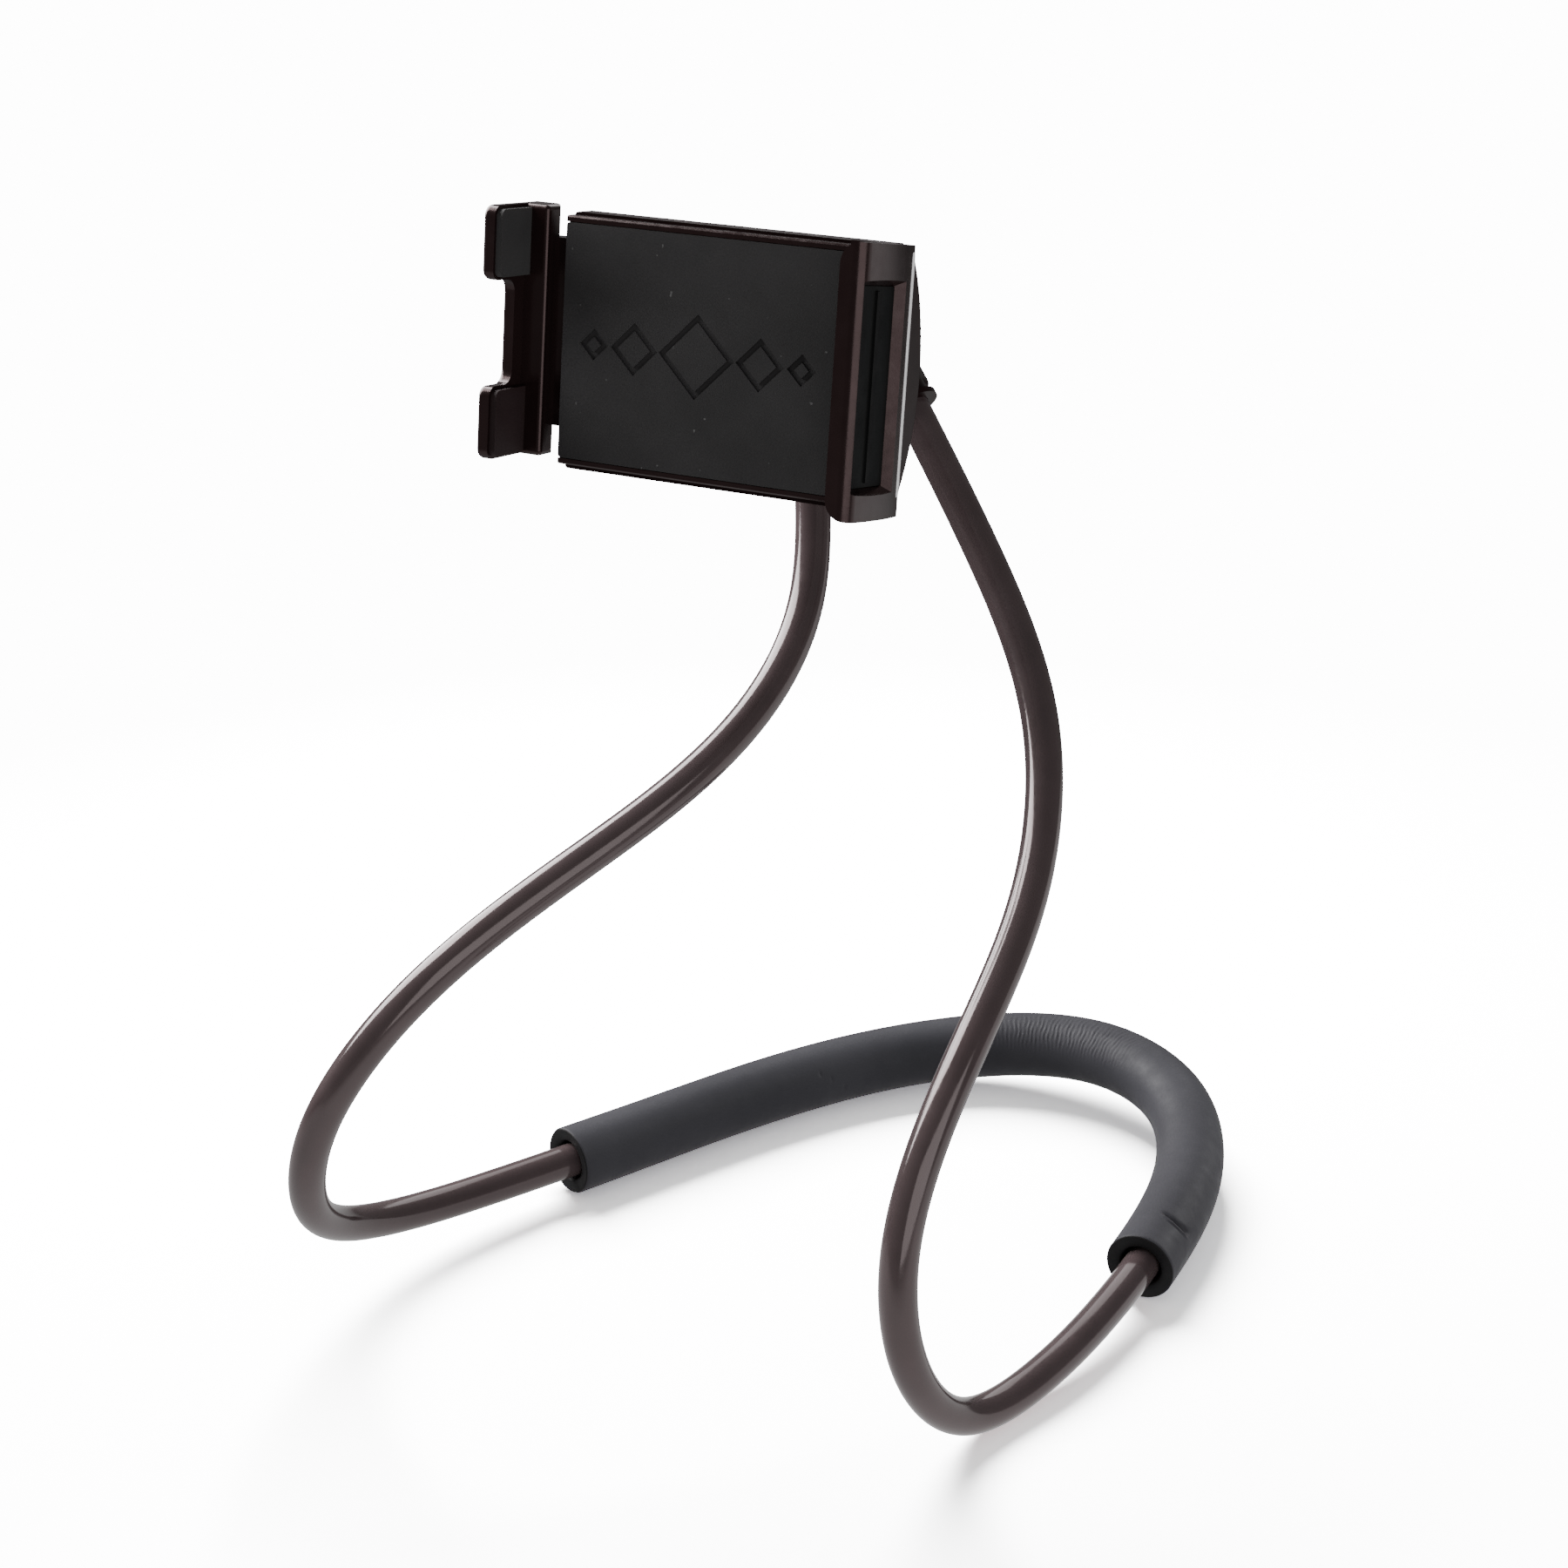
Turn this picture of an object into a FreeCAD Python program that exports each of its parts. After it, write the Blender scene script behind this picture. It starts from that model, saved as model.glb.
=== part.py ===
import FreeCAD, Part
import math
import os

os.makedirs("parts", exist_ok=True)
V = FreeCAD.Vector
Rotation = FreeCAD.Rotation
Placement = FreeCAD.Placement

# Neck-worn phone holder standing on a table. Lengths in mm, angles in degrees.
# +Z is up, the clamp faces -Y, the floor is the lowest point of the part.

# Bendable neck: an aluminium wire in a plastic sleeve, with a foam pad round its middle
sleeve_od = 11.0
core_od = 6.0
core_clearance = 0.05
pad_od = 22.2
pad_clearance = 0.3
bend_share = 0.45

# Hand-bent course of the neck, from the left socket round to the right socket
left_arm = [(8, 11, 172), (-19, -45, 148), (-50, -93, 118), (-72, -108, 77), (-82, -98, 44),
            (-88, -63, 19), (-71, -9, 10.4)]
neck_back = [(-46, 43, 10.1), (-12, 110, 10.1), (30, 151, 11.9), (74, 156, 17.6), (110, 136, 16.8),
             (128, 98, 12.9), (132, 58, 10.9)]
right_arm = [(131, 18, 9.2), (125, -23, 5.2), (113, -57, 3.7), (105, -78, 32), (100, -81, 64),
             (105, -46, 116), (106, 6, 146), (95, 39, 183)]
left_lead = 47.0
right_lead = 50.0

# Where the clamp stands and how far it leans back
clamp_height = 290.6
clamp_tilt = 7.8

# Ball joint: its centre in the clamp, and how the stud leaves it
ball_r = 8.0
ball_x = 7.0
ball_y = 50.0
ball_gap = 0.3
liner_wall = 1.3
liner_front = -6.0
liner_back = 4.5
stud_neck_r = 4.0
stud_pitch = 24.3
stud_roll = 26.5
stud_reach = 41.0
stud_flange_r = 6.5
stud_flange_t = 4.0
stud_skirt_r = 6.5
stud_skirt_l = 10.0

# Connector: two moulded halves with a flanged socket for each end of the neck
block_t = 16.0
block_top = 16.0
block_bottom = -12.0
block_top_w = 30.0
block_bottom_w = 44.0
block_round = 3.0
block_edge = 1.5
socket_left = 18.5
socket_right = 16.0
socket_drop = 17.0
socket_angle = 12.5
socket_bore_gap = 0.1
socket_wall = 1.3
socket_depth = 15.0
neck_end_gap = 1.0
rim_od = 17.4
rim_t = 1.8
block_screw_z = (10.8, -9.6)

# Clamp housing
body_left = -43.5
body_right = 55.2
body_half = 35.5
plate_front = 1.5
plate_back = 4.5
rim_h = 1.7
shell_side = 13.0
shell_peak = 25.0
shell_wall = 2.0
shell_proud = 0.8
shell_proud_low = 1.8
shell_round = 1.2
shell_end_round = 1.0
shell_end_l = 2.8
shell_end_gap = 0.4
plate_chamfer = 0.5
ledge_gap = 0.4
ledge_t = 2.2
ledge_bite = 4.0

# Rubber face pad with a row of sunk lozenges
face_gap = 0.2
face_end_gap = 0.5
face_corner = 1.0
lozenge_depth = 0.6
lozenge_line = 1.6
lozenges = [(0.0, 12.0), (20.0, 7.5), (33.0, 4.5)]

# Fixed jaw on the right
fixed_top = 38.3
fixed_low = -36.8
fixed_rake = 2.5
fixed_front = -18.5
fixed_back = 14.8
fixed_seat_gap = 0.4
fixed_wall = 2.6
fixed_bulge = 1.3
fixed_lip_reach = 4.4
fixed_lip_t = 2.4
fixed_foot_l = 9.6
fixed_foot_front = -1.2
fixed_round = 4.0
fixed_back_round = 0.6
fixed_corner_r = 6.0
window_front = -15.9
window_back = 6.8
window_low = -28.0
window_high = 27.0
window_round = 1.5
window_flare = 2.2
grip_t = 1.7
grip_insert_t = 0.6
grip_gap = 0.2
grip_rib = 0.7
grip_rib_w = 1.6
grip_rib_inset = 1.5
grip_liner_margin = 3.0

# Sliding jaw on the left
slide_mid = 1.5
jaw_half = 36.0
jaw_wall = 4.0
jaw_foot_l = 7.4
jaw_foot_gap = 6.6
jaw_foot_front = 1.0
jaw_foot_taper = 3.3
jaw_foot_round = 1.4
jaw_front = -16.0
jaw_round = 3.0
jaw_edge = 1.5
notch_half = 15.0
notch_floor = -4.0
notch_round = 4.0
tongue_t = 6.0
tongue_side_gap = 0.7
tongue_lift = 0.5
tongue_stop = 10.2
tongue_gap = 0.3
jaw_pad_t = 1.8
jaw_pad_margin = 1.0
jaw_pad_round = 2.0

# Two extension springs lying in grooves of the tongue
spring_od = 4.8
spring_wire = 0.7
spring_z = 13.0
groove_w = 6.2
groove_lead = 3.0
hook_pin_inset = 1.9
hook_pin_r = 1.0
post_inset = 5.6
post_r = 1.3
post_skin = 0.8
post_top = 1.0
eye_gap = 0.1
stem_t = 1.0
coil_margin = 2.6

# Ball cup and its lock nut
cup_wall = 1.6
cup_flange_r = 15.0
cup_flange_t = 3.0
cup_lip = 4.5
cup_slit = 1.2
cup_slit_l = 12.0
nut_gap = 0.3
nut_wall = 4.0
nut_l = 16.0
nut_lip_t = 1.4
nut_lip_reach = 1.3
nut_chamfer = 1.2
nut_grooves = 14
nut_groove_r = 1.5
nut_groove_out = 0.6

# Screws
screw_r = 1.1
screw_head_r = 2.1
screw_head_t = 1.6
cup_screw_r = 2.0
cup_screw_head_r = 3.6
cup_screw_head_t = 2.2
cup_screw_seat = 0.15
cup_screw_stop = 2.6
screw_skin = 1.0
foot_screw_skin = 0.8
boss_r = 2.3
tower_wall = 1.2
left_screw_inset = 5.0
left_screw_drop = 4.0
right_screw_inset = 4.2
right_screw_drop = 10.5
foot_screw_inset = 4.0
foot_screw_drop = 2.5

# Places that follow from the sizes above
jaw_foot_right = body_left - jaw_foot_gap
jaw_in = jaw_foot_right - jaw_foot_l
jaw_out = jaw_in - jaw_wall
tongue_half = body_half - left_screw_drop - boss_r - slide_mid - tongue_side_gap
tongue_front = plate_back + tongue_lift
tongue_back = tongue_front + tongue_t
tongue_end = body_right - tongue_stop
ledge_y = tongue_back + ledge_gap
groove_start = body_left - groove_lead
hook_pin_x = groove_start + hook_pin_inset
post_x = body_right - post_inset
fixed_inner = body_right + fixed_seat_gap
fixed_edge = fixed_inner + fixed_wall
fixed_lip_left = fixed_inner - fixed_lip_reach
fixed_foot_left = fixed_inner - fixed_foot_l
face_right = fixed_foot_left - face_end_gap
shell_end = body_right + shell_end_l
cup_hollow_r = ball_r + 2 * ball_gap + liner_wall
cup_r = cup_hollow_r + cup_wall
nut_r = cup_r + nut_gap + nut_wall
shell_screws = [(body_left + left_screw_inset, body_half - left_screw_drop),
                (body_left + left_screw_inset, left_screw_drop - body_half),
                (body_right - right_screw_inset, body_half - right_screw_drop),
                (body_right - right_screw_inset, right_screw_drop - body_half)]
foot_screws = [(fixed_foot_left + foot_screw_inset, body_half - foot_screw_drop),
               (fixed_foot_left + foot_screw_inset, foot_screw_drop - body_half)]

# Cutting blocks reach this far past the pieces, and cuts this much past a face
far = 80.0
past = 1.0
# Faces this close count as the same face
touch = 0.05


def box(x0, x1, y0, y1, z0, z1):
    return Part.makeBox(x1 - x0, y1 - y0, z1 - z0, V(x0, y0, z0))


def rod(radius, start, end):
    return Part.makeCylinder(radius, (end - start).Length, start, end - start)


def prism(points, direction):
    wire = Part.makePolygon(points + [points[0]])
    return Part.Face(wire).extrude(direction)


def edges_near(shape, test):
    picked = []
    for edge in shape.Edges:
        mid = edge.valueAt((edge.FirstParameter + edge.LastParameter) / 2)
        if test(edge, mid):
            picked.append(edge)
    return picked


def along(edge, axis):
    if edge.Curve.TypeId != "Part::GeomLine":
        return False
    return abs(edge.tangentAt(edge.FirstParameter).dot(axis)) > 0.999


# The clamp leans back about X; everything on it is drawn upright and then placed
in_clamp = Placement(V(0, 0, clamp_height), Rotation(V(1, 0, 0), -clamp_tilt))
ball_local = V(ball_x, ball_y, 0)
ball_centre = in_clamp.multVec(ball_local)
stud_turn = Rotation(V(1, 0, 0), -stud_pitch).multiply(Rotation(V(0, 1, 0), -stud_roll))
in_stud = Placement(ball_centre, stud_turn)


def socket_axis(side):
    angle = math.radians(socket_angle)
    out = socket_right if side > 0 else -socket_left
    mouth = V(out, stud_reach, -socket_drop)
    return mouth, V(side * math.sin(angle), 0, -math.cos(angle))


def on_socket(side, distance):
    mouth, down = socket_axis(side)
    return in_stud.multVec(mouth + down * distance)


# Course of the neck: straight runs joined by tangent arcs
def course():
    points = [on_socket(-1, neck_end_gap - socket_depth), on_socket(-1, left_lead)]
    points += [V(*p) for p in left_arm + neck_back + right_arm]
    points += [on_socket(1, right_lead), on_socket(1, neck_end_gap - socket_depth)]
    runs = []
    bends = []
    start = points[0]
    for before, corner, after in zip(points, points[1:], points[2:]):
        into = (corner - before).normalize()
        out = (after - corner).normalize()
        half_turn = into.getAngle(out) / 2
        cut = bend_share * min((corner - before).Length, (after - corner).Length)
        radius = cut / math.tan(half_turn)
        inward = (out - into).normalize()
        arc_start = corner - into * cut
        arc_end = corner + out * cut
        middle = corner + inward * (radius / math.cos(half_turn) - radius)
        runs.append((start, arc_start))
        bends.append((arc_start, middle, arc_end))
        start = arc_end
    runs.append((start, points[-1]))
    return runs, bends


def course_wire(first, last, trim_ends):
    runs, bends = course()
    edges = []
    for i in range(first, last + 1):
        a, b = runs[i]
        if trim_ends and i == first:
            a = (a + b) * 0.5
        if trim_ends and i == last:
            b = (a + b) * 0.5
        edges.append(Part.LineSegment(a, b).toShape())
        if i < last:
            edges.append(Part.Arc(*bends[i]).toShape())
    return Part.Wire(edges)


def sweep(wire, outer, inner):
    start = wire.Edges[0].valueAt(wire.Edges[0].FirstParameter)
    heading = wire.Edges[0].tangentAt(wire.Edges[0].FirstParameter)
    face = Part.Face(Part.Wire(Part.makeCircle(outer, start, heading)))
    if inner:
        hole = Part.Face(Part.Wire(Part.makeCircle(inner, start, heading)))
        face = face.cut(hole).Faces[0]
    solid = wire.makePipe(face)
    section = math.pi * (outer ** 2 - inner ** 2)
    print("  sweep: volume / (section x length) = %.4f" % (solid.Volume / (section * wire.Length)))
    return solid


neck_runs = len(left_arm) + len(neck_back) + len(right_arm) + 2


def gooseneck_core():
    return sweep(course_wire(0, neck_runs, False), core_od / 2, 0)


def gooseneck_sleeve():
    return sweep(course_wire(0, neck_runs, False), sleeve_od / 2, core_od / 2 + core_clearance)


def neck_pad():
    first = len(left_arm) + 1
    last = first + len(neck_back)
    return sweep(course_wire(first, last, True), pad_od / 2, sleeve_od / 2 + pad_clearance)


# Connector at the top of the neck, drawn with the ball centre at the origin and the stud along +Y
def socket_solids(side):
    mouth, down = socket_axis(side)
    bore_r = sleeve_od / 2 + socket_bore_gap
    barrel = rod(bore_r + socket_wall, mouth - down * socket_depth, mouth)
    rim = rod(rim_od / 2, mouth - down * rim_t, mouth)
    bore = rod(bore_r, mouth - down * socket_depth, mouth + down * past)
    return barrel.fuse(rim), bore


def connector_body():
    y0 = stud_reach - block_t / 2
    corners = [V(-block_top_w / 2, y0, block_top), V(block_top_w / 2, y0, block_top),
               V(block_bottom_w / 2, y0, block_bottom), V(-block_bottom_w / 2, y0, block_bottom)]
    block = prism(corners, V(0, block_t, 0))
    block = block.makeFillet(block_round, edges_near(block, lambda e, m: along(e, V(0, 1, 0))))
    faces = edges_near(block, lambda e, m: abs(abs(m.y - stud_reach) - block_t / 2) < touch)
    block = block.makeFillet(block_edge, faces)
    for side in (-1, 1):
        barrel, bore = socket_solids(side)
        block = block.fuse(barrel).cut(bore)
    flange_pocket = rod(stud_flange_r, V(0, stud_reach - stud_flange_t / 2, 0),
                        V(0, stud_reach + stud_flange_t / 2, 0))
    neck_hole = rod(stud_neck_r, V(0, y0 - past, 0), V(0, stud_reach, 0))
    block = block.cut(flange_pocket).cut(neck_hole)
    for z in block_screw_z:
        block = block.cut(block_screw(z))
    return block


def block_screw(z):
    back = stud_reach + block_t / 2
    head = rod(screw_head_r, V(0, back - screw_head_t, z), V(0, back, z))
    shank = rod(screw_r, V(0, back - block_t * 0.75, z), V(0, back - screw_head_t, z))
    return head.fuse(shank)


def connector_front():
    front = box(-far, far, stud_reach - block_t, stud_reach, -far, far)
    return connector_body().common(front)


def connector_rear():
    rear = box(-far, far, stud_reach, stud_reach + block_t, -far, far)
    return connector_body().common(rear)


def connector_screws():
    return Part.makeCompound([block_screw(z) for z in block_screw_z])


def ball_stud():
    y0 = stud_reach - block_t / 2
    ball = Part.makeSphere(ball_r)
    neck = rod(stud_neck_r, V(0, 0, 0), V(0, stud_reach, 0))
    skirt = Part.makeCone(stud_neck_r, stud_skirt_r, stud_skirt_l, V(0, y0 - stud_skirt_l, 0), V(0, 1, 0))
    flange = rod(stud_flange_r, V(0, stud_reach - stud_flange_t / 2, 0),
                 V(0, stud_reach + stud_flange_t / 2, 0))
    return ball.fuse([neck, skirt, flange]).removeSplitter()


def ball_liner():
    inner = ball_r + ball_gap
    outer = inner + liner_wall
    ring = Part.makeSphere(outer).cut(Part.makeSphere(inner))
    band = box(-far, far, liner_front, liner_back, -far, far)
    return ring.common(band)


# Clamp housing
def arch_profile(inset):
    side = shell_side - inset / 4
    low = -body_half - shell_proud_low + inset
    high = body_half + shell_proud - inset
    peak = shell_peak - inset
    front = plate_back
    p = [V(0, front, low), V(0, side, low), V(0, peak, 0), V(0, side, high), V(0, front, high)]
    edges = [Part.LineSegment(p[0], p[1]).toShape(), Part.Arc(p[1], p[2], p[3]).toShape(),
             Part.LineSegment(p[3], p[4]).toShape(), Part.LineSegment(p[4], p[0]).toShape()]
    return Part.Face(Part.Wire(edges))


def arch_solid(inset, x0, x1):
    face = arch_profile(inset)
    face.translate(V(x0, 0, 0))
    return face.extrude(V(x1 - x0, 0, 0))


def screw_y(x, z, y_from, y_to, head_at):
    shank = rod(screw_r, V(x, y_from, z), V(x, y_to, z))
    head = rod(screw_head_r, V(x, head_at, z), V(x, head_at + screw_head_t, z))
    return shank.fuse(head)


def shell_screw(x, z):
    return screw_y(x, z, plate_front + screw_skin, ledge_y, ledge_y)


def back_shell():
    outer = arch_solid(0, body_left, shell_end)
    outer = outer.cut(box(body_right, far, -far, fixed_back + shell_end_gap, -far, far)).removeSplitter()
    sides = edges_near(outer, lambda e, m: along(e, V(1, 0, 0)) and abs(m.y - shell_side) < touch)
    outer = outer.makeFillet(shell_round, sides)
    ends = edges_near(outer, lambda e, m: m.y > shell_side + shell_round and abs(m.z) < body_half / 2
                      and e.Curve.TypeId == "Part::GeomCircle")
    outer = outer.makeFillet(shell_end_round, ends)
    shell = outer.cut(arch_solid(shell_wall, body_left + shell_wall, body_right - shell_wall))
    root = shell_wall / 4
    inside = arch_solid(root, body_left + root, body_right - root)
    top = slide_mid + tongue_half
    low = slide_mid - tongue_half
    for z0, z1 in ((top - ledge_bite, far), (-far, low + ledge_bite)):
        ledge = box(body_left + shell_wall / 2, tongue_end, ledge_y, ledge_y + ledge_t, z0, z1)
        shell = shell.fuse(ledge.common(inside))
    for x, z in shell_screws:
        boss = rod(boss_r, V(x, plate_back, z), V(x, ledge_y + ledge_t, z))
        tower = rod(screw_head_r + tower_wall, V(x, ledge_y, z), V(x, shell_peak, z))
        shell = shell.fuse(boss.fuse(tower).common(inside))
        hole = rod(screw_head_r, V(x, ledge_y, z), V(x, shell_peak + past, z))
        shell = shell.cut(hole).cut(rod(screw_r, V(x, 0, z), V(x, ledge_y + past, z)))
    slot = box(body_left - past, body_left + shell_wall + past, tongue_front - tongue_gap,
               tongue_back + tongue_gap, low - tongue_gap, top + tongue_gap)
    shell = shell.cut(slot)
    hole = rod(cup_screw_r, V(ball_x, 0, 0), V(ball_x, ball_y, 0))
    return shell.cut(hole).removeSplitter()


def front_plate():
    plate = box(body_left, body_right, plate_front, plate_back, -body_half, body_half)
    for z0, z1 in ((body_half - rim_h, body_half), (-body_half, rim_h - body_half)):
        plate = plate.fuse(box(body_left, fixed_foot_left - face_gap, 0, plate_back, z0, z1))
    plate = plate.removeSplitter()
    lips = edges_near(plate, lambda e, m: along(e, V(1, 0, 0)) and m.y < touch
                      and abs(m.z) > body_half - touch)
    plate = plate.makeChamfer(plate_chamfer, lips)
    for x, z in shell_screws:
        plate = plate.cut(rod(screw_r, V(x, plate_front + screw_skin, z), V(x, plate_back + past, z)))
    for side in (-1, 1):
        plate = plate.cut(spring_post(side))
    for x, z in foot_screws:
        plate = plate.cut(foot_screw(x, z))
    return plate


def face_pad():
    half = body_half - rim_h - face_gap
    pad = box(body_left, face_right, 0, plate_front, -half, half)
    pad = pad.makeFillet(face_corner, edges_near(pad, lambda e, m: along(e, V(0, 1, 0))))
    for offset, size in lozenges:
        for x in {offset, -offset}:
            pad = pad.cut(lozenge(x, size).cut(lozenge(x, size - lozenge_line * math.sqrt(2))))
    return pad


def lozenge(x, size):
    points = [V(x - size, 0, 0), V(x, 0, size), V(x + size, 0, 0), V(x, 0, -size)]
    return prism(points, V(0, lozenge_depth, 0))


# The jaw's top, foot and window fall a little towards the back
def raked(y, z):
    return z - fixed_rake * (y - fixed_front) / (fixed_back - fixed_front)


def fixed_jaw():
    arc_mid = (fixed_front + fixed_back) / 2
    p = [V(fixed_lip_left, fixed_front, 0), V(fixed_edge, fixed_front, 0),
         V(fixed_edge + fixed_bulge, arc_mid, 0),
         V(fixed_edge, fixed_back, 0), V(fixed_inner, fixed_back, 0), V(fixed_inner, plate_front, 0),
         V(fixed_foot_left, plate_front, 0), V(fixed_foot_left, fixed_foot_front, 0),
         V(fixed_inner, fixed_foot_front, 0), V(fixed_inner, fixed_front + fixed_lip_t, 0),
         V(fixed_lip_left, fixed_front + fixed_lip_t, 0)]
    edges = [Part.LineSegment(p[0], p[1]).toShape(), Part.Arc(p[1], p[2], p[3]).toShape()]
    chain = p[3:] + [p[0]]
    edges += [Part.LineSegment(a, b).toShape() for a, b in zip(chain, chain[1:])]
    tall = fixed_top - fixed_low + fixed_rake
    jaw = Part.Face(Part.Wire(edges)).extrude(V(0, 0, tall))
    jaw.translate(V(0, 0, fixed_low - fixed_rake))
    front_edge = edges_near(jaw, lambda e, m: along(e, V(0, 0, 1)) and m.y < fixed_front + touch
                            and m.x > fixed_edge - touch)
    jaw = jaw.makeFillet(fixed_round, front_edge)
    back_edge = edges_near(jaw, lambda e, m: along(e, V(0, 0, 1)) and m.y > fixed_back - touch
                           and m.x > fixed_edge - touch)
    jaw = jaw.makeFillet(fixed_back_round, back_edge)
    ends = ((-far, fixed_low), (far, fixed_low), (far, fixed_top), (-far, fixed_top))
    between = prism([V(0, y, raked(y, z)) for y, z in ends], V(2 * far, 0, 0))
    jaw = jaw.common(between)
    for side, edge in ((-1, fixed_low), (1, fixed_top)):
        jaw = jaw.cut(lip_corner(side, edge))
    jaw = jaw.cut(window_cut())
    for x, z in foot_screws:
        jaw = jaw.cut(foot_screw(x, z))
    return jaw


# Rounds one outer corner of the front lip
def lip_corner(side, edge):
    x0 = fixed_lip_left - past
    x1 = fixed_lip_left + fixed_corner_r
    z0 = edge - side * fixed_corner_r
    z1 = edge + side * past
    block = box(x0, x1, -far, fixed_foot_front, min(z0, z1), max(z0, z1))
    return block.cut(rod(fixed_corner_r, V(x1, -far, z0), V(x1, fixed_foot_front, z0)))


def window_corners(x, grow):
    y0 = window_front - grow
    y1 = window_back + grow
    z0 = window_low - grow
    z1 = window_high + grow
    return [V(x, y, raked(y, z)) for y, z in ((y0, z0), (y1, z0), (y1, z1), (y0, z1))]


# Window in the fixed jaw's side, flaring towards the outside
def window_cut():
    x0 = fixed_inner - past
    x1 = fixed_edge + fixed_bulge + past
    window = prism(window_corners(x0, 0), V(x1 - x0, 0, 0))
    window = window.makeFillet(window_round, edges_near(window, lambda e, m: along(e, V(1, 0, 0))))
    mouth = []
    for x, grow in ((fixed_inner + grip_insert_t, 0), (x1, window_flare)):
        corners = window_corners(x, grow)
        mouth.append(Part.makePolygon(corners + [corners[0]]))
    return window.fuse(Part.makeLoft(mouth, True))


def fixed_jaw_grip():
    insert = prism(window_corners(fixed_inner, -grip_gap), V(grip_insert_t, 0, 0))
    corners = edges_near(insert, lambda e, m: along(e, V(1, 0, 0)))
    insert = insert.makeFillet(window_round - grip_gap, corners)
    rib_mid = (window_front + window_back) / 2
    rib = box(fixed_inner, fixed_inner + grip_insert_t + grip_rib, rib_mid - grip_rib_w / 2,
              rib_mid + grip_rib_w / 2, raked(rib_mid, window_low) + grip_rib_inset,
              raked(rib_mid, window_high) - grip_rib_inset)
    liner = box(fixed_inner - grip_t, fixed_inner, fixed_front + fixed_lip_t + grip_gap,
                fixed_foot_front - grip_gap, window_low - grip_liner_margin, window_high + grip_liner_margin)
    return insert.fuse([rib, liner]).removeSplitter()


def foot_screw(x, z):
    shank = rod(screw_r, V(x, fixed_foot_front + foot_screw_skin, z), V(x, plate_back, z))
    head = rod(screw_head_r, V(x, plate_back - screw_head_t, z), V(x, plate_back, z))
    return shank.fuse(head)


def jaw_foot_screws():
    return Part.makeCompound([foot_screw(x, z) for x, z in foot_screws])


def shell_screw_set():
    return Part.makeCompound([shell_screw(x, z) for x, z in shell_screws])


# Sliding jaw with its tongue
def sliding_jaw():
    top = slide_mid + jaw_half
    low = slide_mid - jaw_half
    wall = box(jaw_out, jaw_in, jaw_front, tongue_back, low, top)
    notch = box(jaw_out - past, jaw_in + past, jaw_front - notch_round - past, notch_floor,
                slide_mid - notch_half, slide_mid + notch_half)
    notch = notch.makeFillet(notch_round, edges_near(notch, lambda e, m: along(e, V(1, 0, 0))
                                                     and m.y > notch_floor - touch))
    wall = wall.cut(notch)
    wall = wall.makeFillet(jaw_round, edges_near(wall, lambda e, m: along(e, V(1, 0, 0))
                                                 and m.y < jaw_front + touch))
    outer_edges = edges_near(wall, lambda e, m: m.x < jaw_out + touch and m.y < notch_floor)
    wall = wall.makeFillet(jaw_edge, outer_edges)
    outline = [V(jaw_in, jaw_foot_front, low), V(jaw_foot_right, jaw_foot_front, low),
               V(jaw_foot_right, tongue_back - jaw_foot_taper, low),
               V(jaw_foot_right - jaw_foot_taper, tongue_back, low), V(jaw_in, tongue_back, low)]
    foot = prism(outline, V(0, 0, top - low))
    foot_edges = edges_near(foot, lambda e, m: m.x > jaw_in + touch and m.y < tongue_back - touch
                            and (m.y < jaw_foot_front + touch or m.x > jaw_foot_right - touch))
    foot = foot.makeFillet(jaw_foot_round, foot_edges)
    tongue = box(jaw_in, tongue_end, tongue_front, tongue_back, slide_mid - tongue_half,
                 slide_mid + tongue_half)
    jaw = wall.fuse([foot, tongue]).removeSplitter()
    for side in (-1, 1):
        z = slide_mid + side * spring_z
        groove = box(groove_start, tongue_end + past, tongue_front - past, tongue_back + past,
                     z - groove_w / 2, z + groove_w / 2)
        jaw = jaw.cut(groove)
        jaw = jaw.fuse(hook_bar(side))
    return jaw


def hook_bar(side):
    z = slide_mid + side * spring_z
    mid = tongue_front + tongue_t / 2
    return rod(hook_pin_r, V(hook_pin_x, mid, z - groove_w / 2), V(hook_pin_x, mid, z + groove_w / 2))


def jaw_pad(z0, z1):
    pad = box(jaw_in, jaw_in + jaw_pad_t, jaw_front + jaw_pad_margin, jaw_foot_front, z0, z1)
    return pad.makeFillet(jaw_pad_round, edges_near(pad, lambda e, m: along(e, V(1, 0, 0)) and m.y < 0))


def jaw_pad_upper():
    return jaw_pad(slide_mid + notch_half + jaw_pad_margin, slide_mid + jaw_half - jaw_pad_margin)


def jaw_pad_lower():
    return jaw_pad(slide_mid - jaw_half + jaw_pad_margin, slide_mid - notch_half - jaw_pad_margin)


# Springs pull the sliding jaw shut: close-wound coils drawn as their tube, with an eye at each end
def spring(side):
    z = slide_mid + side * spring_z
    y = tongue_front + tongue_t / 2
    start = hook_pin_x + coil_margin
    end = post_x - coil_margin
    outer = rod(spring_od / 2, V(start, y, z), V(end, y, z))
    coil = outer.cut(rod(spring_od / 2 - spring_wire, V(start, y, z), V(end, y, z)))
    half = spring_od / 2 - spring_wire / 4
    post_in = post_r + eye_gap
    post_eye = eye(V(post_x, y, z), post_in, V(0, 1, 0))
    post_stem = box(end - stem_t / 2, post_x - post_in, y - stem_t / 2, y + stem_t / 2, z - half, z + half)
    pin_in = hook_pin_r + eye_gap
    pin_eye = eye(V(hook_pin_x, y, z), pin_in, V(0, 0, 1))
    pin_stem = box(hook_pin_x + pin_in, start + stem_t / 2, y - half, y + half,
                   z - stem_t / 2, z + stem_t / 2)
    return coil.fuse([post_eye, post_stem, pin_eye, pin_stem])


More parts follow.
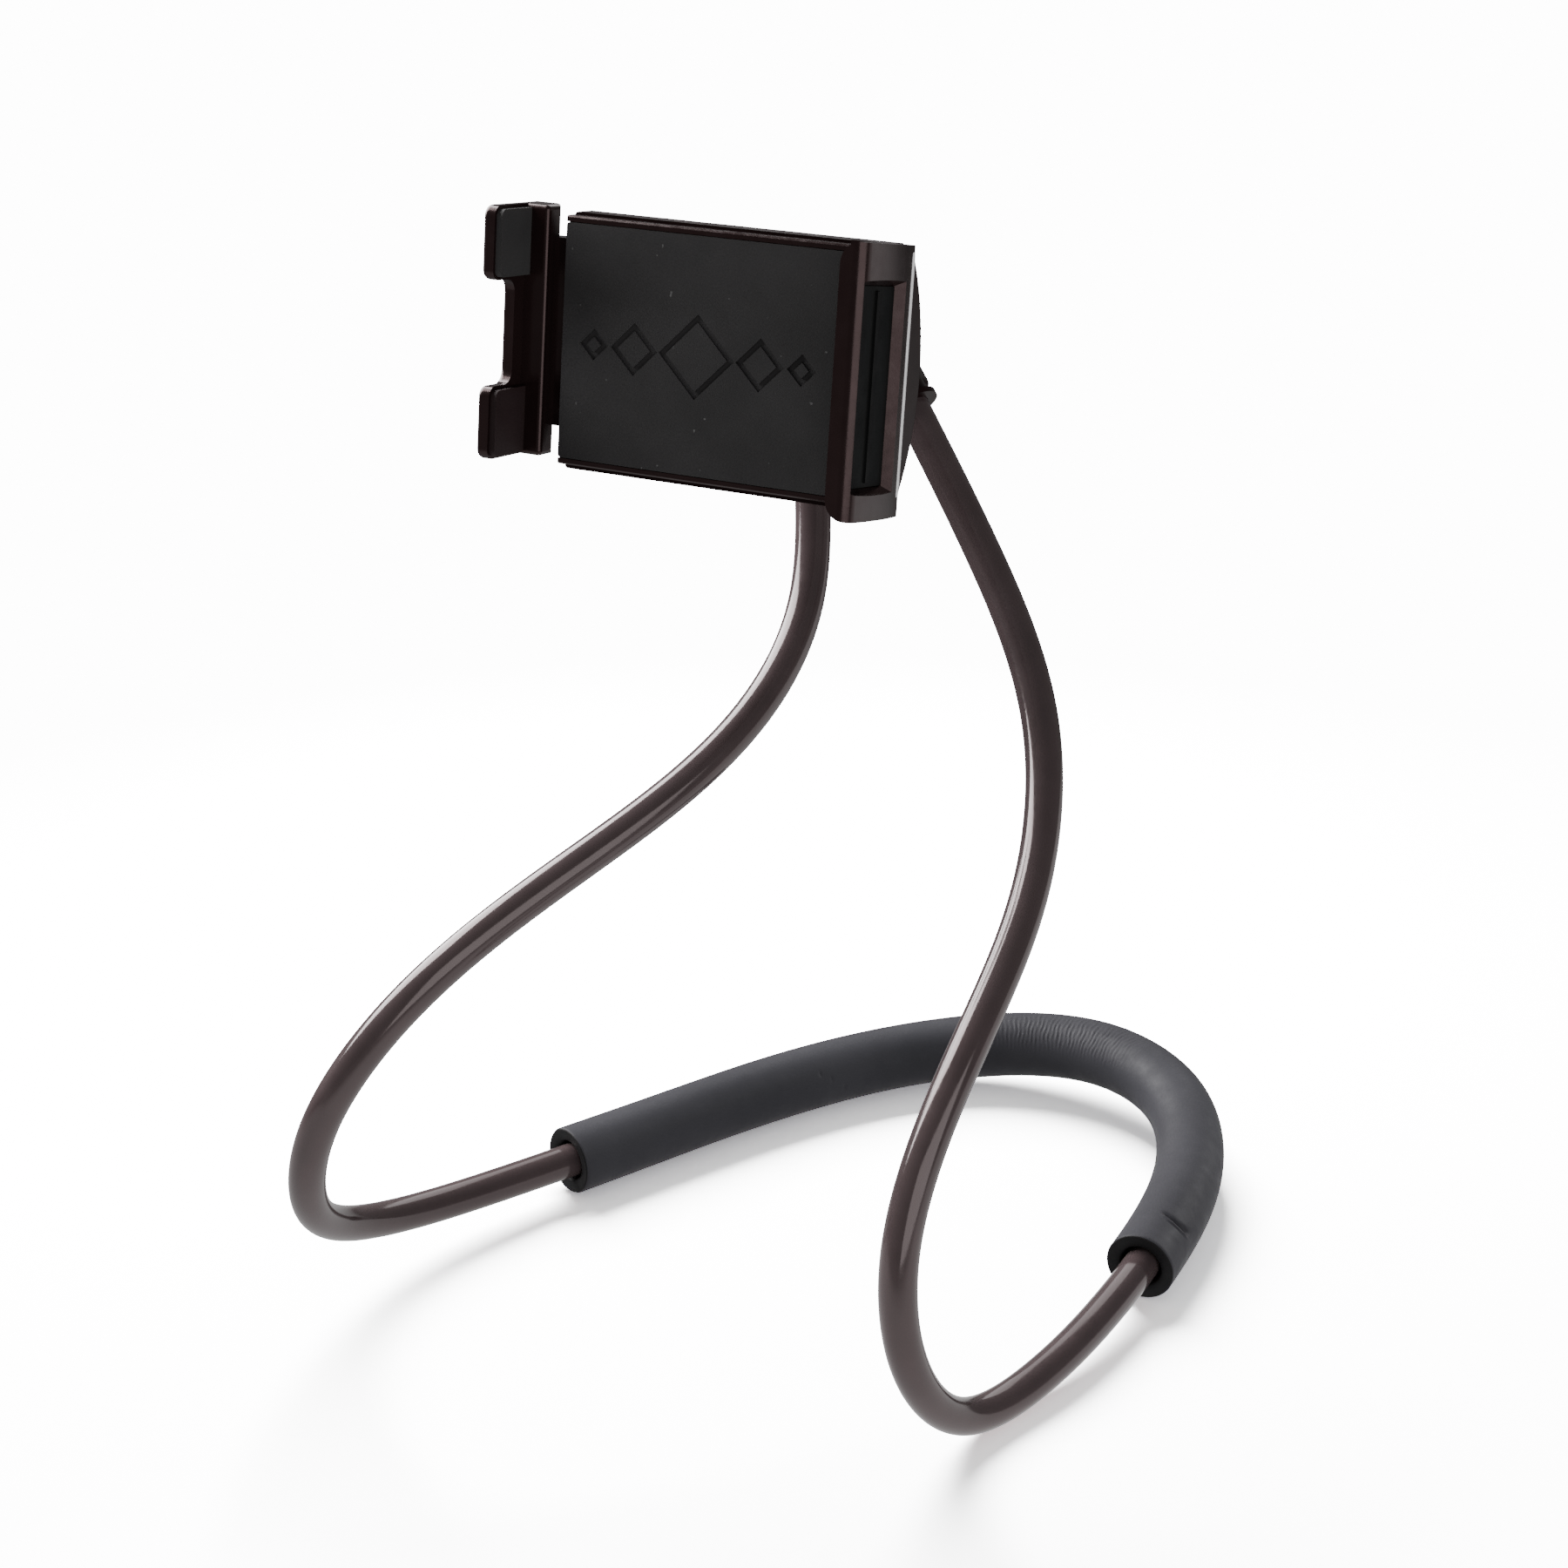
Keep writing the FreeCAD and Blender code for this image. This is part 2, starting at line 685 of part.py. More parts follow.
def eye(centre, inner, axis):
    outer = inner + spring_wire
    half = axis * (spring_wire / 2)
    return rod(outer, centre - half, centre + half).cut(rod(inner, centre - half, centre + half))


def jaw_springs():
    return Part.makeCompound([spring(-1), spring(1)])


def spring_post(side):
    z = slide_mid + side * spring_z
    return rod(post_r, V(post_x, plate_front + post_skin, z), V(post_x, tongue_back + post_top, z))


def spring_posts():
    return Part.makeCompound([spring_post(-1), spring_post(1)])


# Ball cup on the back of the housing, and the nut that closes it on the ball
def cup_seat_y():
    return shell_peak + cup_flange_t


def ball_cup():
    lip = ball_y + cup_lip
    flange = rod(cup_flange_r, V(ball_x, shell_side, 0), V(ball_x, cup_seat_y(), 0))
    barrel = rod(cup_r, V(ball_x, shell_side, 0), V(ball_x, lip, 0))
    cup = flange.fuse(barrel).cut(arch_solid(0, body_left, body_right))
    cup = cup.cut(Part.makeSphere(cup_hollow_r, ball_local, V(0, 1, 0)))
    for turn in (45, 135):
        slit = box(-far, far, lip - cup_slit_l, lip + past, -cup_slit / 2, cup_slit / 2)
        slit.rotate(V(0, 0, 0), V(0, 1, 0), turn)
        slit.translate(V(ball_x, 0, 0))
        cup = cup.cut(slit)
    return cup.cut(cup_screw())


def cup_screw():
    inside = shell_peak - shell_wall - cup_screw_seat
    head = rod(cup_screw_head_r, V(ball_x, inside - cup_screw_head_t, 0), V(ball_x, inside, 0))
    shank = rod(cup_screw_r, V(ball_x, inside, 0), V(ball_x, ball_y - cup_hollow_r - cup_screw_stop, 0))
    return head.fuse(shank)


def lock_nut():
    back = ball_y + cup_lip + nut_gap + nut_lip_t
    front = back - nut_l
    nut = rod(nut_r, V(ball_x, front, 0), V(ball_x, back, 0))
    nut = nut.makeChamfer(nut_chamfer, edges_near(nut, lambda e, m: e.Curve.TypeId == "Part::GeomCircle"))
    nut = nut.cut(rod(cup_r + nut_gap, V(ball_x, front - past, 0), V(ball_x, back - nut_lip_t, 0)))
    nut = nut.cut(rod(cup_r - nut_lip_reach, V(ball_x, front, 0), V(ball_x, back + past, 0)))
    for i in range(nut_grooves):
        angle = 2 * math.pi * i / nut_grooves
        reach = nut_r + nut_groove_out
        at = V(ball_x + reach * math.cos(angle), front - past, reach * math.sin(angle))
        nut = nut.cut(rod(nut_groove_r, at, at + V(0, nut_l + 2 * past, 0)))
    return nut


upright = Placement()
pieces = [
    ("gooseneck_core", gooseneck_core, upright),
    ("gooseneck_sleeve", gooseneck_sleeve, upright),
    ("neck_pad", neck_pad, upright),
    ("connector_front", connector_front, in_stud),
    ("connector_rear", connector_rear, in_stud),
    ("connector_screws", connector_screws, in_stud),
    ("ball_stud", ball_stud, in_stud),
    ("ball_liner", ball_liner, in_stud),
    ("ball_cup", ball_cup, in_clamp),
    ("cup_screw", cup_screw, in_clamp),
    ("lock_nut", lock_nut, in_clamp),
    ("back_shell", back_shell, in_clamp),
    ("front_plate", front_plate, in_clamp),
    ("shell_screws", shell_screw_set, in_clamp),
    ("face_pad", face_pad, in_clamp),
    ("fixed_jaw", fixed_jaw, in_clamp),
    ("fixed_jaw_grip", fixed_jaw_grip, in_clamp),
    ("jaw_foot_screws", jaw_foot_screws, in_clamp),
    ("spring_posts", spring_posts, in_clamp),
    ("jaw_springs", jaw_springs, in_clamp),
    ("sliding_jaw", sliding_jaw, in_clamp),
    ("jaw_pad_upper", jaw_pad_upper, in_clamp),
    ("jaw_pad_lower", jaw_pad_lower, in_clamp),
]

built = []
for name, make, place in pieces:
    shape = make()
    shape.Placement = place.multiply(shape.Placement)
    built.append((name, shape))

# The origin is the middle of the footprint, on the floor
whole = Part.makeCompound([shape for name, shape in built]).optimalBoundingBox(False)
origin = V((whole.XMin + whole.XMax) / 2, (whole.YMin + whole.YMax) / 2, whole.ZMin)
print("size %.1f x %.1f x %.1f, origin moved by %.3f %.3f %.3f" %
      (whole.XLength, whole.YLength, whole.ZLength, -origin.x, -origin.y, -origin.z))
for name, shape in built:
    shape.translate(origin * -1)
    if not shape.isValid():
        print("not valid:", name)
    print("%-18s %9.1f mm3  solids %d" % (name, shape.Volume, len(shape.Solids)))
    shape.exportStep("parts/%s.step" % name)
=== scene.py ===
import bpy
import bmesh
import math
import numpy as np
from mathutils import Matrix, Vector


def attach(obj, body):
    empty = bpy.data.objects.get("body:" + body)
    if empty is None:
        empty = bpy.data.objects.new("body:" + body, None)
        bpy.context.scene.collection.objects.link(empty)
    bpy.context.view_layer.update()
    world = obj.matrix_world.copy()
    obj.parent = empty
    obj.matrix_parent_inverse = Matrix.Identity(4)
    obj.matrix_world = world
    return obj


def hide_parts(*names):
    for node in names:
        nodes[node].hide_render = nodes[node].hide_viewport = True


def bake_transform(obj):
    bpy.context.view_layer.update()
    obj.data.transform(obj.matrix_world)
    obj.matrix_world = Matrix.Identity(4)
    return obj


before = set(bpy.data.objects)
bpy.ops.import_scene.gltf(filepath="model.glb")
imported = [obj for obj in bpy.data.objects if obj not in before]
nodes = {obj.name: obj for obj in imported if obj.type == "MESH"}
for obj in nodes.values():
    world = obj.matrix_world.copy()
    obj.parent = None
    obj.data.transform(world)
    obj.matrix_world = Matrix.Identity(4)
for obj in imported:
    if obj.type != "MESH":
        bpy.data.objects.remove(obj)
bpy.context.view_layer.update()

# Neck-worn phone holder. Sizes are in millimetres and angles in degrees, unless a comment says otherwise.
MM = 0.001

# Course of the neck, drawn about the clamp's centre line; the frame's origin is the middle of the footprint
DRAWN_ORIGIN = np.array((-25.562, -27.152, 1.153))
ROUTE = [(-5.4, 82.8, 257.9), (-0.3, 74.5, 239.4), (9.4, 58.5, 204.0),
         (8, 11, 172), (-19, -45, 148), (-50, -93, 118), (-72, -108, 77), (-82, -98, 44), (-88, -63, 19),
         (-71, -9, 10.4), (-46, 43, 10.1), (-12, 110, 10.1), (30, 151, 11.9), (74, 156, 17.6),
         (110, 136, 16.8), (128, 98, 12.9), (132, 58, 10.9), (131, 18, 9.2), (125, -23, 5.2),
         (113, -57, 3.7), (105, -78, 32), (100, -81, 64), (105, -46, 116), (106, 6, 146), (95, 39, 183),
         (60.4, 67.6, 224.2), (33.3, 81.3, 254.6), (20.1, 88.1, 269.5)]
CORNER_WEIGHT = 6
SLEEVE_R = 5.5
SLEEVE_STEP = 1.6
SLEEVE_SIDES = 40

# Foam pad: where it starts and ends on the course, how far it runs out past its start, and its section
PAD_FROM = (-58.5, 17, 10.2)
PAD_TO = (131.5, 38, 10.0)
PAD_PAST = 2.5
PAD_R = 11.1
PAD_BORE_R = 5.8
PAD_MOUTH_R = 6.5
PAD_EDGE = 0.7

# Cut end of the pad, from its rim into the bore: how far in, and the radius there
PAD_DISH = ((0.3, PAD_R - 2.6), (0.5, PAD_MOUTH_R + 0.8), (0.9, PAD_MOUTH_R + 0.2), (2.0, PAD_MOUTH_R),
            (14.0, PAD_BORE_R))

# Mesh of the pad: its sides, the rings of its rounded edges, and those of its bore and its skin. Fine and
# coarse count steps of the course. The outer bands of a rounded edge take the cut end's darker foam with
# painted shade.
PAD_SIDES = 96
PAD_EDGE_ANGLES = (0, 22, 45, 67)
PAD_CUT_BANDS = 2
PAD_BORE_FROM = 20.0
PAD_BORE_STEP = 6.0
PAD_STEP = 0.25
PAD_FINE = 1.2
PAD_COARSE = 6

# Marks in the foam's skin. A place on it is the length along the pad and the angle round it, with 270 on top.
SWELL = {"height": 0.10, "twist": 23.0, "beat": 37.0, "phase": 1.0}
WRINKLES = {"from": 160.5, "to": 234.5, "low": 236.0, "high": 350.0, "fade_along": 22.0, "fade_round": 34.0,
            "spacing": 1.7, "depth": 0.12, "sway": 2.2}
# Waves that let the wrinkles sway and break off: strength, waves round the pad, and radians per millimetre
SWAY_WAVES = ((0.5, 5, 0.23), (0.35, 11, -0.41))
BREAK_WAVES = ((7, 0.83), (13, -0.37))
CREASE = {"at": 332.4, "reach": 8.0, "bow": 2.0, "mid": 232.0, "half": 32.0, "fade": 14.0, "depth": 1.3,
          "narrow": 0.6, "widening": 0.6, "lip": 0.9, "lip_at": 0.35, "lip_half": 0.4}
DENTS = [(97.8, 328.0), (101.8, 342.0), (106.9, 4.0)]
DENTS_SPAN = (95.0, 110.0)
DENT_DEPTH = 0.3
DENT_R = 0.7

# Clamp: how it stands, and the places of its small metal parts, as in the part's source
CLAMP_HEIGHT = 290.6
CLAMP_TILT = 7.8
BALL = (7.0, 50.0, 0.0)
STUD_PITCH = 24.3
STUD_ROLL = 26.5
SHELL_SCREWS = [(-38.5, 31.5), (-38.5, -31.5), (51.0, 25.0), (51.0, -25.0)]
SHELL_SCREW_SEAT = 11.4
SHELL_SCREW_L = 8.9
CONNECTOR_SCREWS = (10.8, -9.6)
CONNECTOR_SCREW_SEAT = 47.4
CONNECTOR_SCREW_L = 10.4

# Pan-head screw. The head's edge is given inwards from its side and downwards from its top.
SCREW_SIDES = 48
SCREW_R = 1.1
SCREW_TIP_SHARE = 0.6
SCREW_TIP_L = 0.6
SCREW_HEAD_R = 2.1
SCREW_HEAD_T = 1.6
SCREW_HEAD_EDGE = ((0.0, 0.4), (0.12, 0.15), (0.4, 0.0))
SCREW_TOP_IN = 0.5
SCREW_TOP_RINGS = 17

# Cross recess: its depth, where an arm's side and end slope up, and how fast the floor rises outwards
RECESS_DEPTH = 0.75
RECESS_SIDE = (0.3, 0.42)
RECESS_END = (1.1, 1.3)
RECESS_RISE = 0.3

# Springs: close-wound coils between two open eyes, each bent to both sides by a share of a half turn
SPRING_ENDS = (-44.6, 49.6)
SPRING_Y = 8.0
SPRING_Z = (14.5, -11.5)
SPRING_R = 2.05
SPRING_WIRE_R = 0.35
SPRING_SIDES = 6
SPRING_STEPS = 14
SPRING_EYE = 2.6
PIN_EYE_R = 1.45
POST_EYE_R = 1.75
EYE_POINTS = 15
EYE_HALF_TURN = 0.8

# Pale strip along the back edge of the fixed jaw's bowed side, a painted highlight for the bright line of
# light on that edge: the side's bow, then the strip's middle, half width, ends, rise and sink, its rings near
# an end and over its body, and how its ends fade
JAW_BOW_R = 107.3
JAW_BOW_X = -47.8
JAW_BOW_Y = -1.85
HIGHLIGHT_Y = 13.45
HIGHLIGHT_HALF = 1.1
HIGHLIGHT_ENDS = (-33.6, 34.0)
HIGHLIGHT_RISE = 0.3
HIGHLIGHT_SINK = 0.5
HIGHLIGHT_POINTS = 13
HIGHLIGHT_END_RINGS = np.array((0.0, 0.4, 1.2))
HIGHLIGHT_BODY_IN = 3.0
HIGHLIGHT_BODY_RINGS = 40
HIGHLIGHT_FADE = (-0.3, 2.5)

# Nearness, in metres, at which points of one piece are joined
WELD_M = 0.00001

# Dust on rubber: its tone, and the rise of the noise over which a speck fades in
SPECK_TONE = (0.06, 0.06, 0.06)
SPECK_EDGE = 0.04

# Camera of the photograph, placed in metres
CAMERA_AT = (0.3574, -0.7337, 0.4951)
CAMERA_TURN = (67.5, 0.0, 26.7)
CAMERA_LENS = 67.18
CAMERA_SENSOR = 36.0
CAMERA_FAR_M = 50.0

# Studio light, in scene brightness. A panel is its bearing and height in degrees, its distance, width and
# height in metres, and its glow.
PANELS = {
    "left_box": (174, 36, 1.25, 1.05, 1.05, 21.0),
    "front_panel": (-36, 12, 1.5, 1.5, 1.1, 2.6),
    "back_panel": (104, 33, 1.6, 0.9, 0.9, 2.4),
}
FOAM_PANELS = {
    "foam_fill": (48, 24, 1.6, 1.0, 0.8, 9.0),
}
FLOOR_PANELS = {
    "floor_key": (132, 40, 1.8, 1.15, 1.15, 25.0),
}
PANELS_AIM = (0.0, 0.0, 0.12)
ROOM_GLOW = 0.18
BACKDROP_GLOW = 14.0

# Floor, in metres. It looks brighter to the camera than to the part, and fades into the backdrop.
FLOOR_HALF_M = 30.0
FLOOR_DROP_M = 0.0003
FLOOR_TO_CAMERA = 8.0
FLOOR_FADE = (0.22, 0.55)
# Its glow on the part grows towards the right and is weaker in front; each ramp runs across a slanted line
FLOOR_GLOW_LEFT = 0.09
FLOOR_GLOW_RIGHT = 1.15
SIDE_SLANT = -0.72
SIDE_RAMP = (-0.46, 0.1)
FLOOR_GLOW_FRONT = 0.25
FRONT_SLANT = -0.5
FRONT_RAMP = (-0.7, -0.3)


# Smooth curve through the knots, straight out of both ends
def clamped_spline(knots, spacing):
    gaps = np.linalg.norm(np.diff(knots, axis=0), axis=1)
    count = len(knots)
    slopes_of = np.eye(count)
    right = np.zeros((count, 3))
    right[0] = (knots[1] - knots[0]) / gaps[0]
    right[-1] = (knots[-1] - knots[-2]) / gaps[-1]
    for i in range(1, count - 1):
        before, after = 1 / gaps[i - 1], 1 / gaps[i]
        slopes_of[i, i - 1:i + 2] = before, 2 * (before + after), after
        right[i] = 3 * ((knots[i] - knots[i - 1]) * before ** 2 + (knots[i + 1] - knots[i]) * after ** 2)
    slopes = np.linalg.solve(slopes_of, right)
    path = []
    for i in range(count - 1):
        steps = max(2, round(gaps[i] / spacing))
        for t in np.arange(steps) / steps:
            start = (2 * t ** 3 - 3 * t ** 2 + 1) * knots[i]
            start = start + (t ** 3 - 2 * t ** 2 + t) * gaps[i] * slopes[i]
            end = (3 * t ** 2 - 2 * t ** 3) * knots[i + 1] + (t ** 3 - t ** 2) * gaps[i] * slopes[i + 1]
            path.append(start + end)
    path.append(knots[-1])
    return np.array(path)


# Course of the neck through the route's rounded corners
def neck_course(spacing):
    points = np.array(ROUTE, float) + DRAWN_ORIGIN
    rounded = (points[:-2] + CORNER_WEIGHT * points[1:-1] + points[2:]) / (CORNER_WEIGHT + 2)
    return clamped_spline(np.vstack([points[:1], rounded, points[-1:]]), spacing)


def nearest(path, drawn_point):
    return int(np.argmin(np.linalg.norm(path - (np.array(drawn_point) + DRAWN_ORIGIN), axis=1)))


def along_path(path):
    return np.r_[0, np.cumsum(np.linalg.norm(np.diff(path, axis=0), axis=1))]


# Rings square to a path, turned as little as possible from one to the next
def ring_frames(path):
    headings = np.gradient(path, axis=0)
    headings /= np.linalg.norm(headings, axis=1)[:, None]
    side = np.cross(headings[0], (0, 0, 1))
    side /= np.linalg.norm(side)
    frames = []
    for heading in headings:
        side = side - heading * side.dot(heading)
        side /= np.linalg.norm(side)
        frames.append((side, np.cross(heading, side)))
    return frames


def angles_round(sides):
    return 2 * np.pi * np.arange(sides) / sides


def ring_of(centre, frame_here, angles, radius):
    side, up = frame_here
    outward = np.cos(angles)[:, None] * side + np.sin(angles)[:, None] * up
    return centre + np.reshape(radius, (-1, 1)) * outward


def rise(value, low, high):
    t = np.clip((value - low) / (high - low), 0, 1)
    return t * t * (3 - 2 * t)


def within(value, low, high, soft):
    return rise(value, low, low + soft) * (1 - rise(value, high - soft, high))


# Meshes made of rings
def bands(count, sides, looped=False):
    faces = []
    for i in range(count if looped else count - 1):
        here, on = i * sides, (i + 1) % count * sides
        for j in range(sides):
            k = (j + 1) % sides
            faces.append((here + j, here + k, on + k, on + j))
    return faces


def flat_ends(count, sides):
    return [tuple(reversed(range(sides))), tuple(range((count - 1) * sides, count * sides))]


def shifted(faces, base):
    return [tuple(base + v for v in face) for face in faces]


def mesh_object(name, vertices, faces):
    mesh = bpy.data.meshes.new(name)
    mesh.from_pydata([tuple(v * MM) for v in vertices], [], faces)
    mesh.validate()
    mesh.polygons.foreach_set("use_smooth", [True] * len(mesh.polygons))
    piece = bpy.data.objects.new(name, mesh)
    bpy.context.scene.collection.objects.link(piece)
    return piece


def tube(name, rings, looped=False):
    count, sides = len(rings), len(rings[0])
    faces = bands(count, sides, looped)
    if not looped:
        faces += flat_ends(count, sides)
    return mesh_object(name, [point for ring in rings for point in ring], faces)


def weld(piece):
    shape = bmesh.new()
    shape.from_mesh(piece.data)
    bmesh.ops.remove_doubles(shape, verts=shape.verts, dist=WELD_M)
    bmesh.ops.recalc_face_normals(shape, faces=shape.faces)
    shape.to_mesh(piece.data)
    shape.free()


# Nodes of the materials
def new_material(name):
    material = bpy.data.materials.new(name)
    material.use_nodes = True
    tree = material.node_tree
    return material, tree, tree.nodes["Principled BSDF"]


def add(tree, kind, **values):
    node = tree.nodes.new(kind)
    for name, value in values.items():
        if name in node.inputs:
            node.inputs[name].default_value = value
        else:
            setattr(node, name, value)
    return node


def object_coords(tree):
    return add(tree, "ShaderNodeTexCoord").outputs["Object"]


def noise(tree, coords, scale, detail=4.0, rough=0.55):
    node = add(tree, "ShaderNodeTexNoise", Scale=scale, Detail=detail, Roughness=rough)
    tree.links.new(coords, node.inputs["Vector"])
    return node.outputs["Fac"]


def between(tree, fac, low, high, from_low=0.3, from_high=0.7):
    node = add(tree, "ShaderNodeMapRange")
    node.inputs["From Min"].default_value = from_low
    node.inputs["From Max"].default_value = from_high
    node.inputs["To Min"].default_value = low
    node.inputs["To Max"].default_value = high
    tree.links.new(fac, node.inputs["Value"])
    return node.outputs["Result"]


def colour_between(tree, fac, low, high, from_low=0.3, from_high=0.7):
    ramp = add(tree, "ShaderNodeValToRGB")
    ramp.color_ramp.elements[0].position = from_low
    ramp.color_ramp.elements[1].position = from_high
    ramp.color_ramp.elements[0].color = (*low, 1)
    ramp.color_ramp.elements[1].color = (*high, 1)
    tree.links.new(fac, ramp.inputs["Fac"])
    return ramp.outputs["Color"]


def bump(tree, shader, height, depth_m, strength=1.0, under=None):
    node = add(tree, "ShaderNodeBump", Strength=strength, Distance=depth_m)
    tree.links.new(height, node.inputs["Height"])
    if under:
        tree.links.new(under, node.inputs["Normal"])
    tree.links.new(node.outputs["Normal"], shader.inputs["Normal"])
    return node.outputs["Normal"]


# Product of one value by a share, added to another
def slanted(tree, value, share, other):
    node = add(tree, "ShaderNodeMath", operation="MULTIPLY_ADD")
    tree.links.new(value, node.inputs[0])
    node.inputs[1].default_value = share
    tree.links.new(other, node.inputs[2])
    return node.outputs["Value"]


def shader_mix(tree, fac, first, second):
    node = add(tree, "ShaderNodeMixShader")
    tree.links.new(fac, node.inputs["Fac"])
    tree.links.new(first, node.inputs[1])
    tree.links.new(second, node.inputs[2])
    return node.outputs["Shader"]


# Base of every look: mottled colour and roughness. Scales count the noise's cells to a metre.
def mottled(name, tones, tone_scale, roughness, rough_scale):
    material, tree, shader = new_material(name)
    at = object_coords(tree)
    tone = colour_between(tree, noise(tree, at, tone_scale), *tones)
    tree.links.new(tone, shader.inputs["Base Color"])
    tree.links.new(between(tree, noise(tree, at, rough_scale), *roughness), shader.inputs["Roughness"])
    return material, tree, shader, at


def sleeve_material():
    tones = (0.0465, 0.0338, 0.0350), (0.0573, 0.0418, 0.0433)
    material, tree, shader, at = mottled("gloss_brown_sleeve", tones, tone_scale=60,
                                         roughness=(0.10, 0.17), rough_scale=240)
    shader.inputs["IOR"].default_value = 1.5
    shader.inputs["Specular Tint"].default_value = (1.0, 0.86, 0.86, 1.0)
    bump(tree, shader, noise(tree, at, scale=130, detail=2.0), depth_m=0.00003)
    return material


def moulding_material(name, shine):
    tones = (0.0080, 0.0038, 0.0039), (0.0108, 0.0054, 0.0056)
    material, tree, shader, at = mottled(name, tones, tone_scale=90, roughness=(0.17, 0.27), rough_scale=300)
    shader.inputs["Specular IOR Level"].default_value = shine
    shader.inputs["Specular Tint"].default_value = (1.0, 0.72, 0.72, 1.0)
    bump(tree, shader, noise(tree, at, scale=1800, detail=2.0), depth_m=0.00001)
    return material


# Rubber with specks of dust where a fine noise passes a threshold
def rubber_material(name, tones, specks_from, shine=0.2):
    material, tree, shader, at = mottled(name, tones, tone_scale=45, roughness=(0.55, 0.72), rough_scale=150)
    tone = shader.inputs["Base Color"].links[0].from_socket
    dust = noise(tree, at, scale=620, detail=0.0)
    specks = colour_between(tree, dust, (0, 0, 0), SPECK_TONE, specks_from, specks_from + SPECK_EDGE)
    mixed = add(tree, "ShaderNodeMix", data_type="RGBA", blend_type="ADD")
    mixed.inputs["Factor"].default_value = 1.0
    tree.links.new(tone, mixed.inputs["A"])
    tree.links.new(specks, mixed.inputs["B"])
    tree.links.new(mixed.outputs["Result"], shader.inputs["Base Color"])
    shader.inputs["Specular IOR Level"].default_value = shine
    bump(tree, shader, noise(tree, at, scale=2600, detail=3.0), depth_m=0.00003)
    return material


# Foam with fine cells under a soft unevenness
def foam_material(name, tones):
    material, tree, shader, at = mottled(name, tones, tone_scale=35, roughness=(0.5, 0.64), rough_scale=200)
    shader.inputs["Specular IOR Level"].default_value = 0.12
    cells = add(tree, "ShaderNodeTexVoronoi", Scale=1500.0)
    tree.links.new(at, cells.inputs["Vector"])
    fine = bump(tree, shader, cells.outputs["Distance"], depth_m=0.00004, strength=0.4)
    bump(tree, shader, noise(tree, at, scale=260, detail=3.0), depth_m=0.00008, strength=0.5, under=fine)
    return material


def steel_material():
    tones = (0.36, 0.36, 0.36), (0.47, 0.47, 0.46)
    material, tree, shader, at = mottled("zinc_plated_steel", tones, tone_scale=200,
                                         roughness=(0.24, 0.42), rough_scale=600)
    shader.inputs["Metallic"].default_value = 1.0
    bump(tree, shader, noise(tree, at, scale=1500, detail=2.0), depth_m=0.00002)
    return material


def nylon_material():
    tones = (0.0062, 0.0056, 0.0056), (0.0102, 0.0092, 0.0092)
    material, tree, shader, at = mottled("black_nylon", tones, tone_scale=120,
                                         roughness=(0.3, 0.42), rough_scale=500)
    bump(tree, shader, noise(tree, at, scale=1200, detail=2.0), depth_m=0.00002)
    return material


# Pale material of the strip on the fixed jaw's back edge: a painted highlight for the bright line of light
# there
def highlight_strip_material():
    tones = (0.74, 0.73, 0.73), (0.84, 0.83, 0.83)
    material, tree, shader, at = mottled("painted_highlight_strip", tones, tone_scale=150,
                                         roughness=(0.24, 0.36), rough_scale=500)
    bump(tree, shader, noise(tree, at, scale=1400, detail=2.0), depth_m=0.00001)
    return material


sleeve_look = sleeve_material()
moulding_look = moulding_material("brown_black_moulding", 0.36)
shell_look = moulding_material("brown_black_shell", 0.1)
rubber_look = rubber_material(
    "matte_black_rubber", ((0.0172, 0.0160, 0.0167), (0.0242, 0.0226, 0.0235)), 0.86)
# Darker copy of the black rubber: painted shade on the grip that sits in the fixed jaw's window
shaded_rubber_look = rubber_material(
    "rubber_with_painted_shade", ((0.0072, 0.0072, 0.0074), (0.0100, 0.0100, 0.0102)), 0.97, shine=0.05)
# Lighter copy of the black rubber: painted light on the upper jaw pad, which lies in shade
lit_rubber_look = rubber_material(
    "rubber_with_painted_light", ((0.0330, 0.0318, 0.0320), (0.0420, 0.0408, 0.0410)), 0.95)
brown_rubber_look = rubber_material(
    "brown_black_rubber", ((0.0150, 0.0082, 0.0086), (0.0200, 0.0112, 0.0118)), 0.95)
foam_look = foam_material("matte_foam", ((0.0220, 0.0213, 0.0252), (0.0288, 0.0280, 0.0327)))
# Darker copy of the foam: painted shade on the cut ends and inside the bore
shaded_foam_look = foam_material("cut_foam_painted_shade", ((0.0060, 0.0056, 0.0062), (0.0090, 0.0084, 0.0092)))
steel_look = steel_material()
nylon_look = nylon_material()
highlight_strip_look = highlight_strip_material()

LOOKS = {
    "gooseneck_core": steel_look, "connector_front": shell_look, "connector_rear": shell_look,
    "connector_screws": steel_look, "ball_stud": nylon_look, "ball_liner": nylon_look,
    "ball_cup": moulding_look, "cup_screw": steel_look, "lock_nut": moulding_look,
    "back_shell": shell_look, "front_plate": moulding_look, "shell_screws": steel_look,
    "face_pad": rubber_look, "fixed_jaw": moulding_look, "fixed_jaw_grip": shaded_rubber_look,
    "jaw_foot_screws": steel_look, "spring_posts": steel_look, "jaw_springs": steel_look,
    "sliding_jaw": moulding_look, "jaw_pad_upper": lit_rubber_look, "jaw_pad_lower": brown_rubber_look,
}
for name, look in LOOKS.items():
    mesh = nodes[name].data
    mesh.materials.clear()
    mesh.materials.append(look)


# Neck: sleeve and foam pad on one course
def make_sleeve():
    course = neck_course(SLEEVE_STEP)
    angles = angles_round(SLEEVE_SIDES)
    rings = [ring_of(c, f, angles, SLEEVE_R) for c, f in zip(course, ring_frames(course))]
    sleeve = tube("neck_sleeve", rings)
    sleeve.data.materials.append(sleeve_look)
    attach(sleeve, "loop")
    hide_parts("gooseneck_sleeve")


